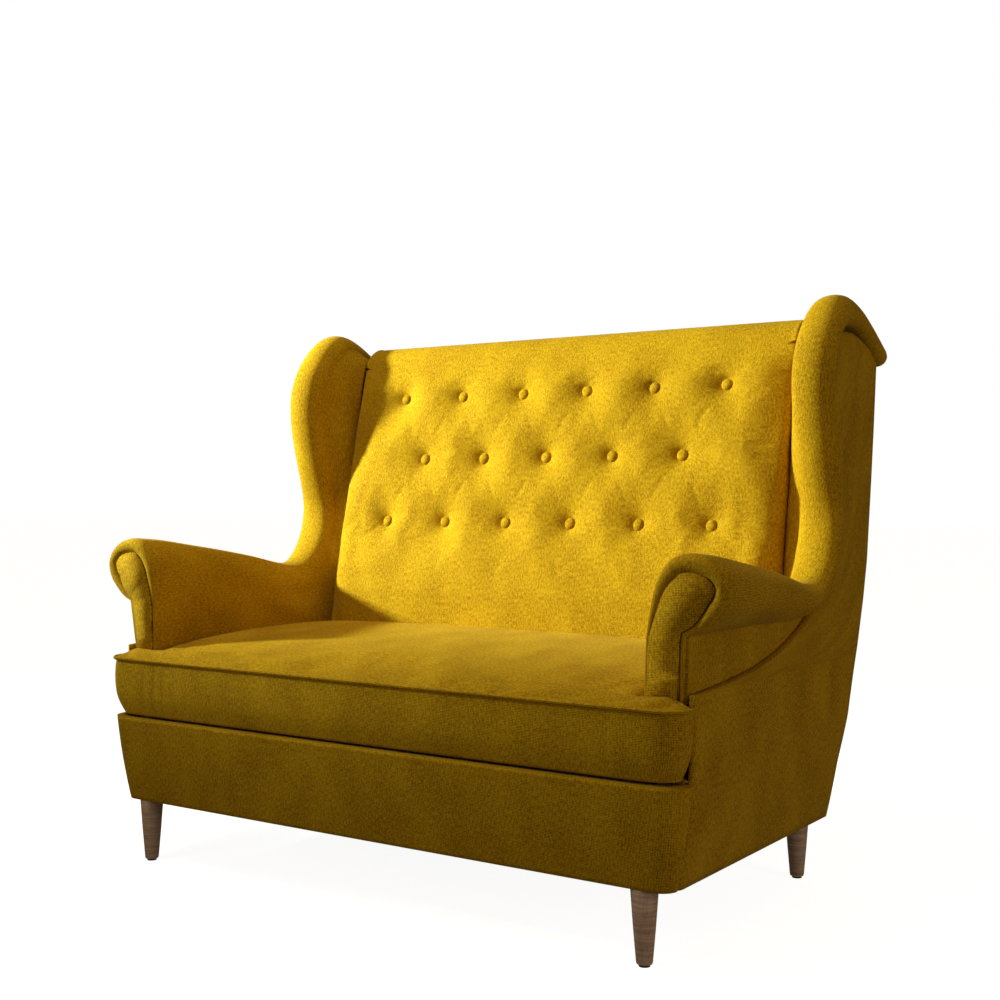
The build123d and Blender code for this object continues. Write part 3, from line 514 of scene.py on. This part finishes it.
def padded_section(edge, seam, crease, turned, lean):
    """A closed ring: over the padding from seam to crease, and back behind it."""
    edge, seam, crease = (np.array(p) for p in (edge, seam, crease))
    reach = np.linalg.norm(seam - edge)
    lip = np.linalg.norm(crease - edge)
    pull = (seam - edge) / reach
    drop = (crease - edge) / lip
    rolls = (min(0.082, 0.75 * reach), min(0.042, 0.75 * reach))
    line = []
    for (xa, fa, far), (xw, fw, _) in zip(ARM_INNER, WING_INNER):
        spans = [roll + (reach - roll) * f if far else roll * f for roll, f in zip(rolls, (fa, fw))]
        y, z = edge + pull * (spans[0] * (1 - turned) + spans[1] * turned)
        line.append((xa * (1 - turned) + xw * turned, y, z))
    slim = 1 - SCROLL_TAPER * np.clip((edge[0] - ARM_START) / ARM_RUN, 0, 1)
    for (xa, fa), (xw, fw) in zip(ARM_OUTER, WING_OUTER):
        xa = ARM_SIDE + (xa - ARM_SIDE) * slim
        y, z = edge + drop * lip * (fa * (1 - turned) + fw * turned)
        line.append((xa * (1 - turned) + xw * turned, y, z))
    line = smooth_through(line, AROUND)
    first, last = line[0], line[-1]
    corner = np.array([ARM_SIDE - lean, (first[1] + last[1]) / 2, first[2]])
    corner = corner * (1 - turned) + (first + last) / 2 * turned
    down = [last + (corner - last) * t for t in np.linspace(0, 1, 11)[1:]]
    home = [corner + (first - corner) * t for t in np.linspace(0, 1, 8)[1:]]
    return np.vstack([line, down, home])


def inward_of(ring):
    """The direction into a ring's outline at each of its points, in its own plane."""
    ahead = np.roll(ring[:-1], -1, axis=0) - np.roll(ring[:-1], 1, axis=0)
    ahead /= np.linalg.norm(ahead, axis=1)[:, None]
    inward = np.cross(ahead, (0.0, 1.0, 0.0))
    if np.sum(inward * (ring[:-1].mean(axis=0) - ring[:-1])) < 0:
        inward = -inward
    return np.vstack([inward, inward[:1]])


# The rolled rim round the front: thin beside the seat, fat round the scroll
RIM = np.interp(np.arange(AROUND + 17), [0, 11, 19, 24, AROUND - 8, AROUND - 2, AROUND + 17],
                [0.0035, 0.0040, 0.0100, 0.0150, 0.0150, 0.0060, 0.0035])
RIM_FRONT = 0.0205


def rim_ring(ring, turn):
    """The front ring carried on round the rim, from 0 at the side to 90 at the front."""
    a = math.radians(turn)
    forward = RIM_FRONT - RIM + RIM * math.sin(a)
    return ring + inward_of(ring) * (RIM * (1 - math.cos(a)))[:, None] - np.outer(forward, (0, 1, 0))


def arm_wing_rows(lean):
    """Rings from behind the front rim, along the arm and up the wing, to its rear end."""
    keys = np.array([[*e, *s, *c, t] for e, s, c, t in STATIONS])
    fine = smooth_through(keys[:, :6], 150)
    run = np.concatenate([[0], np.cumsum(np.linalg.norm(np.diff(keys[:, :2], axis=0), axis=1))])
    fine_run = np.concatenate([[0], np.cumsum(np.linalg.norm(np.diff(fine[:, :2], axis=0), axis=1))])
    turns = np.interp(fine_run * run[-1] / fine_run[-1], run, keys[:, 6])
    leans = np.interp(fine[:, 0], [ARM_START, LEAN_END], [lean, 0.0])
    rings = [padded_section(k[:2], k[2:4], k[4:6], t, tilt) for k, t, tilt in zip(fine, turns, leans)]
    front = [rim_ring(rings[0], turn) for turn in (155, 135, 115, 95, 75, 55, 36, 18, 0)]
    last = rings[-1]
    middle = last.mean(axis=0)
    rear = [middle + (last - middle) * size + np.array([0, 0.010, -0.006]) * step
            for size, step in ((0.985, 0.5), (0.93, 0.95), (0.80, 1.25), (0.55, 1.4))]
    return front + rings + rear


def flat_weave(bm, across, up):
    """Lays the weave's UV flat on a piece, in metres."""
    weave = bm.loops.layers.uv.verify()
    for face in bm.faces:
        for loop in face.loops:
            loop[weave].uv = (loop.vert.co[across], loop.vert.co[up])


def sided(rows, side):
    """Rows made for the right side, on the side asked for."""
    return [[(side * x, y, z) for x, y, z in row] for row in rows]


for side, label, lean in ((1, "right", 0.004), (-1, "left", 0.018)):
    rows = arm_wing_rows(lean)
    bm = drape(sided(rows, side), wrap=True)
    bmesh.ops.holes_fill(bm, edges=[e for e in bm.edges if e.is_boundary])
    bmesh.ops.recalc_face_normals(bm, faces=bm.faces)
    wing = cover(f"arm_and_wing_{label}", bm, (f"arm_pad_{label}", f"wing_pad_{label}"))

    # Arm facing: a padded panel let in behind the rolled rim and blind-stitched round
    outline = np.array(rows[0])[:-1]
    bm = bmesh.new()
    ring = [bm.verts.new((side * x, y - 0.0005, z)) for x, y, z in outline]
    face = bmesh.ops.contextual_create(bm, geom=ring)["faces"][0]
    bm.normal_update()
    if face.normal.y > 0:
        bmesh.ops.reverse_faces(bm, faces=[face])
    for inset, depth in ((0.0012, 0.0024), (0.0022, 0.0017), (0.0040, 0.0012), (0.0070, 0.0008)):
        bmesh.ops.inset_region(bm, faces=[face], thickness=inset, depth=depth, use_even_offset=True)
    bmesh.ops.triangulate(bm, faces=[face])
    bm.loops.layers.uv.new("weave")
    flat_weave(bm, 0, 2)
    facing = cover(f"facing_{label}", bm, (f"arm_facing_{label}", f"facing_welt_{label}"))
    thicken(facing, 0.006)

    # Outside arm: flat cloth tacked below the roll, running down behind the side panel
    rows = []
    for y in np.linspace(seam_y + 0.001, 0.085, 60):
        low = np.interp(y, edge_line[:60, 0], edge_line[:60, 1]) - 0.014
        tilt = np.interp(y, [ARM_START, LEAN_END], [lean, 0.0])
        rows.append([(side * (ARM_SIDE - 0.0005 - tilt * t), y, 0.506 + (low - 0.506) * t)
                     for t in np.linspace(0, 1, 12)])
    outside = cover(f"outside_arm_{label}", drape(rows, turn=math.pi / 2), (f"outer_arm_{label}",),
                    flip=side > 0)
    thicken(outside, 0.006)


# ------------------------------------------------------------- seat
# A tight T-shaped seat of foam on springs. The top panel is crowned and tucks down
# beside the arms, the boxed border drops to the dark gap, and a welt joins the two.
WELT_Z = 0.397
FRONT_Y = seat_low.y
TIP_HALF = 0.626
TIP_TURN = 0.040
SEAT_HALF = 0.5415
ARM_FRONT = -0.3765


def plump(piece, held, pressure, slack, cap, frames=16):
    """Blows the padding up under the cloth, and lets the cloth settle between its seams."""
    mesh = piece.data
    before = np.empty(3 * len(mesh.vertices))
    mesh.vertices.foreach_get("co", before)
    pins = piece.vertex_groups.new(name="held")
    for index, weight in enumerate(held):
        if weight > 0:
            pins.add([index], float(weight), "REPLACE")
    cloth = piece.modifiers.new("cloth", "CLOTH")
    cloth.settings.vertex_group_mass = "held"
    cloth.settings.quality = 5
    cloth.settings.mass = 0.3
    cloth.settings.tension_stiffness = 20
    cloth.settings.compression_stiffness = 12
    cloth.settings.shear_stiffness = 5
    cloth.settings.bending_stiffness = 0.35
    cloth.settings.shrink_min = -slack
    cloth.settings.use_pressure = True
    cloth.settings.uniform_pressure_force = pressure
    cloth.settings.effector_weights.gravity = 0.0
    cloth.collision_settings.use_collision = False
    cloth.point_cache.frame_end = frames
    for step in range(1, frames + 1):
        scene.frame_set(step)
    shaped = piece.evaluated_get(bpy.context.evaluated_depsgraph_get()).data
    after = np.empty(3 * len(mesh.vertices))
    shaped.vertices.foreach_get("co", after)
    move = (after - before).reshape(-1, 3)
    size = np.linalg.norm(move, axis=1)
    move *= np.minimum(1.0, cap / np.maximum(size, 1e-9))[:, None]
    piece.modifiers.remove(cloth)
    mesh.vertices.foreach_set("co", before + move.ravel())
    mesh.update()
    scene.frame_set(1)


def held_rows(rows, cols, hold):
    """Pin weights for a draped grid, from a function of row and column."""
    return [hold(row, col) for row in range(rows) for col in range(cols)]


def seat_half_at(y):
    """Half the seat's width at y: rounded front corners, then the notch at the arms."""
    into = y - FRONT_Y
    if into < TIP_TURN:
        return TIP_HALF - TIP_TURN + math.sqrt(max(0.0, TIP_TURN ** 2 - (TIP_TURN - into) ** 2))
    return TIP_HALF if y < ARM_FRONT else SEAT_HALF


RISE = [(0.0, 0.0), (0.006, 0.0035), (0.018, 0.0085), (0.044, 0.0155), (0.090, 0.0240),
        (0.150, 0.0320), (0.250, 0.0395), (0.380, 0.0435), (0.480, 0.0425), (0.560, 0.0360),
        (0.620, 0.0250)]


def seat_z(x, y, half):
    """Height of the seat's crown, which falls to the welt and tucks down by the arms."""
    rise = np.interp(y - FRONT_Y, [p[0] for p in RISE], [p[1] for p in RISE])
    beside = max(0.0, half - abs(x))
    if y < ARM_FRONT:
        fall = min(1.0, beside / 0.055)
        return WELT_Z + rise * (1 - (1 - fall) ** 2.2)
    tuck = 0.020 * max(0.0, 1 - beside / 0.016) ** 2
    return WELT_Z + rise * (1 - 0.24 * (abs(x) / SEAT_HALF) ** 4) - tuck


def seat_top_rows():
    """Rows of points over the seat from its front welt to behind the back's foot."""
    rows = []
    steps = np.concatenate([FRONT_Y + 0.0430 * (1 - np.cos(np.linspace(0, math.pi / 2, 14))),
                            np.linspace(ARM_FRONT + 0.0006, 0.190, 86)])
    spread = np.sin(np.linspace(-math.pi / 2, math.pi / 2, 151))
    spread = 0.35 * spread + 0.65 * np.linspace(-1, 1, 151)
    for y in steps:
        half = seat_half_at(y)
        rows.append([(half * s, y, seat_z(half * s, y, half)) for s in spread])
    return rows


seat_top = cover("seat_top_panel", drape(seat_top_rows()), ("seat_cushion",))
plump(seat_top, held_rows(100, 151, lambda r, c: 1.0 if r < 2 or r > 97 or c < 3 or c > 147 else 0.0),
      0.6, 0.004, 0.006)
thicken(seat_top, 0.004)

PUCKERS = ((-0.520, 0.7), (-0.492, 1.0), (-0.466, 0.6), (-0.405, 0.5), (0.505, 0.6), (0.540, 0.4))
rows = []
for t in np.linspace(0, 1, 26):
    z = WELT_Z - t * (WELT_Z - seat_low.z - 0.003)
    swell = 0.0035 * math.sin(math.pi * min(1.0, t * 1.05)) - 0.0060 * max(0.0, (t - 0.62) / 0.38) ** 2
    narrow = 0.013 * t ** 1.6
    row = front_strip(TIP_HALF - narrow + swell, FRONT_Y - swell + 0.0015, ARM_FRONT + 0.004,
                      TIP_TURN, z, 240)
    fold = [sum(size * math.exp(-((x - at) / 0.0055) ** 2) for at, size in PUCKERS)
            for x, _, _ in row]
    deep = 0.0016 * math.sin(math.pi * t) ** 0.7
    rows.append([(x, y + deep * f * (abs(x) < 0.58), zz) for (x, y, zz), f in zip(row, fold)])
z = seat_low.z
for back, drop in ((0.004, -0.0015), (0.012, -0.0020), (0.030, -0.0010)):
    rows.append(front_strip(TIP_HALF - 0.013 - back, FRONT_Y + 0.0075 + back, ARM_FRONT + 0.004,
                            TIP_TURN - back * 0.5, z + drop + 0.004, 240))
border = cover("seat_border", drape(rows), flip=True)
thicken(border, 0.008)


def tube(line, radius, sides=10):
    """Rows of points round a line: a welt's cord under its cloth."""
    line = np.array(line, float)
    ahead = np.gradient(line, axis=0)
    ahead /= np.linalg.norm(ahead, axis=1)[:, None]
    out = np.cross(ahead, (0, 0, 1.0))
    out /= np.linalg.norm(out, axis=1)[:, None]
    up = np.cross(out, ahead)
    return [[p + radius * (math.cos(a) * o + math.sin(a) * u)
             for a in np.linspace(0, math.tau, sides + 1)] for p, o, u in zip(line, out, up)]


line = front_strip(TIP_HALF + 0.0015, FRONT_Y - 0.0015, ARM_FRONT - 0.001, TIP_TURN, WELT_Z - 0.001, 160)
bm = drape(tube(line, 0.0034), wrap=True)
bmesh.ops.holes_fill(bm, edges=[e for e in bm.edges if e.is_boundary])
bmesh.ops.recalc_face_normals(bm, faces=bm.faces)
cover("seat_welt_cord", bm, ("seat_welt",))


# ------------------------------------------------------------- buttoned back
# Deep foam on webbing, raked back, its cloth pulled in by 17 covered buttons and
# rolled over the top rail. It swells ahead of the seams at the wings.
RAKE = math.radians(14)
UP = np.array([0.0, math.sin(RAKE), math.cos(RAKE)])
OUT = np.array([0.0, -math.cos(RAKE), math.sin(RAKE)])
FOOT = np.array([0.0, 0.114, 0.4365])
BACK_HALF = 0.5300
PITCH = 0.1577
ROW_PITCH = 0.1404
FIRST_ROW = 0.2267
PINNED_RADIUS = 0.0125
HELD_EDGE = 8
HELD_ROLL = 46
BUTTONS = [((i - (count - 1) / 2) * PITCH, FIRST_ROW + row * ROW_PITCH, row)
           for row, count in enumerate((6, 5, 6)) for i in range(count)]
FOLDS = [(a[0], a[1], b[0], b[1]) for a in BUTTONS for b in BUTTONS
         if b[2] == a[2] + 1 and abs(a[0] - b[0]) < PITCH]


def quilting(x, up):
    """Height of the cloth over the buttons' plane: puffed, with a dimple at each button."""
    height = 0.0185
    for bx, bu, _ in BUTTONS:
        away = math.hypot(x - bx, up - bu)
        if away < 0.2:
            height -= 0.0185 * math.exp(-(away / 0.024) ** 1.2) + 0.0060 * math.exp(-(away / 0.055) ** 2)
    for ax, au, bx, bu in FOLDS:
        length = math.hypot(bx - ax, bu - au)
        t = ((x - ax) * (bx - ax) + (up - au) * (bu - au)) / length ** 2
        if -0.1 < t < 1.1:
            off = abs((x - ax) * (bu - au) - (up - au) * (bx - ax)) / length
            middle = math.sin(math.pi * np.clip(t, 0, 1))
            height -= 0.0006 * math.exp(-(off / 0.011) ** 2) * (1 - 0.7 * middle)
    return height


def seam_depth(up):
    """How far the seam at the wings lies behind the buttons' plane."""
    return np.interp(up, [-0.11, 0.0, 0.24, 0.48, 0.63], [0.060, 0.054, 0.026, 0.006, -0.004])


def back_rows():
    """Rows of points from the foot of the back, up its face and over the top rail."""
    face_top = 0.585
    plane_end = FOOT + UP * face_top
    roll = [plane_end, plane_end + UP * 0.028 - OUT * 0.006, (0, 0.292, 1.0480), (0, 0.318, 1.0545),
            (0, 0.350, 1.0470), (0, 0.385, 1.0300), (0, 0.414, 1.0140), (0, 0.4185, 1.0050),
            (0, 0.4170, 0.9850)]
    over = smooth_through([np.array(p) for p in roll], 40)
    spots = [(FOOT + UP * t, t, OUT) for t in np.linspace(-0.105, face_top, 150)]
    ahead = np.gradient(over, axis=0)
    ahead /= np.linalg.norm(ahead, axis=1)[:, None]
    spots += [(p, face_top + 0.01, np.array([0, -a[2], a[1]])) for p, a in zip(over[1:], ahead[1:])]
    rows = []
    for place, up, out in spots:
        deep = seam_depth(up)
        fade = np.clip((face_top - up) / 0.06, 0, 1) * np.clip((up + 0.03) / 0.10, 0, 1)
        soft = np.clip((0.46 - up) / 0.40, 0.0, 1.0)
        under = 0.022 if up <= face_top else 0.068
        edge = [(BACK_HALF, -max(deep, 0) - under), (BACK_HALF, -max(deep * 0.55, 0.004 + 0.008 * soft)),
                (BACK_HALF - 0.002 - 0.004 * soft, -max(deep * 0.22, 0.0012 + 0.0028 * soft)),
                (BACK_HALF - 0.010 - 0.014 * soft, -0.0003 - deep * 0.05 * soft),
                (BACK_HALF - 0.060, 0.0)]
        side = smooth_through(edge, 16)
        flat = np.linspace(-BACK_HALF + 0.060, BACK_HALF - 0.060, 202)[1:-1]
        line = np.vstack([side * np.array([-1, 1]), np.stack([flat, np.zeros(200)], axis=1), side[::-1]])
        points = []
        for x, h in line:
            puff = quilting(x, up) * fade if fade > 0 else 0.0
            rim = np.clip((BACK_HALF - abs(x)) / 0.07, 0, 1)
            points.append(place + np.array([x, 0, 0]) + out * (h + puff * rim * (2 - rim)))
        rows.append(points)
    return rows


back_grid = np.array(back_rows())
back = cover("buttoned_back", drape(back_grid), ("back_cushion",))
heights = (back_grid - FOOT) @ UP
pulled = np.zeros(back_grid.shape[:2])
for bx, bu, _ in BUTTONS:
    pulled[np.hypot(back_grid[:, :, 0] - bx, heights - bu) < PINNED_RADIUS] = 1.0
pulled[:2] = pulled[-HELD_ROLL:] = 1.0
pulled[:, :HELD_EDGE] = pulled[:, -HELD_EDGE:] = 1.0
plump(back, pulled.ravel(), 0.8, 0.004, 0.004)
thicken(back, 0.020)

for row, label in enumerate(("bottom", "middle", "top")):
    bm = bmesh.new()
    profile = [(0.0118, -0.0080), (0.0124, -0.0030), (0.0121, -0.0002), (0.0108, 0.0022),
               (0.0080, 0.0042), (0.0042, 0.0052), (0.0, 0.0054)]
    placed = 0
    for bx, bu, which in BUTTONS:
        if which != row:
            continue
        chain = [bm.verts.new((r, 0, h)) for r, h in profile]
        rim = [bm.edges.new(pair) for pair in zip(chain, chain[1:])]
        bmesh.ops.spin(bm, geom=chain + rim, cent=(0, 0, 0), axis=(0, 0, 1), angle=math.tau,
                       steps=24, use_merge=True)
        bm.verts.ensure_lookup_table()
        for vert in bm.verts[placed:]:
            x, up, out = vert.co
            vert.co = Vector(FOOT + np.array([bx + x, 0, 0]) + UP * (bu + up) + OUT * out)
        placed = len(bm.verts)
    bmesh.ops.remove_doubles(bm, verts=bm.verts, dist=1e-6)
    bmesh.ops.recalc_face_normals(bm, faces=bm.faces)
    bm.loops.layers.uv.new("weave")
    flat_weave(bm, 0, 2)
    cover(f"covered_buttons_{label}", bm, (f"buttons_{label}_row",))


# ------------------------------------------------------------- studio
# A pale floor and backdrop, a key from the front left, three soft lights that lift the
# shadows, and the camera.
floor, tree, shader = new_material("pale_floor", 0.6)
shader.inputs["Base Color"].default_value = (0.85, 0.85, 0.85, 1.0)
shader.inputs["Emission Color"].default_value = (1.0, 1.0, 1.0, 1.0)
shader.inputs["Emission Strength"].default_value = 0.92
bm = bmesh.new()
bmesh.ops.create_grid(bm, x_segments=1, y_segments=1, size=30.0)
mesh = bpy.data.meshes.new("studio_floor")
bm.to_mesh(mesh)
bm.free()
mesh.materials.append(floor)
ground = bpy.data.objects.new("studio_floor", mesh)
ground.visible_diffuse = False
ground.visible_glossy = False
scene.collection.objects.link(ground)


KEY_CONE = math.radians(31)


def soft_light(name, kind, place, target, size, power, colour):
    """A square area light or a narrow spot, aimed at a target."""
    light = bpy.data.lights.new(name, kind)
    light.energy = power
    light.color = colour
    if kind == "AREA":
        light.shape = "SQUARE"
        light.size = size
    else:
        light.shadow_soft_size = size
        light.spot_size = KEY_CONE
        light.spot_blend = 1.0
    lamp = bpy.data.objects.new(name, light)
    lamp.location = place
    lamp.rotation_euler = (Vector(target) - Vector(place)).to_track_quat("-Z", "Y").to_euler()
    scene.collection.objects.link(lamp)


soft_light("key", "SPOT", (-3.25, -1.50, 1.85), (-0.18, 0.25, 0.88), 0.15, 1650.0, (0.86, 1.0, 0.62))
soft_light("top", "AREA", (-0.5, -0.7, 2.7), (0.0, -0.1, 0.4), 1.6, 19.0, (1.0, 0.90, 0.62))
soft_light("fill", "AREA", (-1.3, -3.6, 1.4), (0.0, 0.0, 0.5), 1.5, 13.0, (1.0, 0.87, 0.64))
soft_light("side", "AREA", (4.0, -0.5, 1.0), (0.0, 0.0, 0.5), 1.5, 19.0, (1.0, 0.85, 0.60))

world = bpy.data.worlds.new("studio")
scene.world = world
world.use_nodes = True
sky = world.node_tree
air = sky.nodes["Background"]
air.inputs["Color"].default_value = (1.0, 0.86, 0.64, 1.0)
air.inputs["Strength"].default_value = 0.10
paper = sky.nodes.new("ShaderNodeBackground")
paper.inputs["Color"].default_value = (1.0, 1.0, 1.0, 1.0)
paper.inputs["Strength"].default_value = 1.0
seen = sky.nodes.new("ShaderNodeLightPath")
choose = sky.nodes.new("ShaderNodeMixShader")
sky.links.new(seen.outputs["Is Camera Ray"], choose.inputs["Fac"])
sky.links.new(air.outputs["Background"], choose.inputs[1])
sky.links.new(paper.outputs["Background"], choose.inputs[2])
sky.links.new(choose.outputs["Shader"], sky.nodes["World Output"].inputs["Surface"])
scene.view_settings.view_transform = "Standard"

lens = bpy.data.cameras.new("camera")
lens.lens = 50.37
lens.sensor_width = 36.0
camera = bpy.data.objects.new("camera", lens)
camera.location = (1.5641, -2.2538, 0.720)
camera.rotation_euler = (math.radians(90 - 0.3125), 0.0, math.radians(34.377))
scene.collection.objects.link(camera)
scene.camera = camera

bpy.context.view_layer.update()
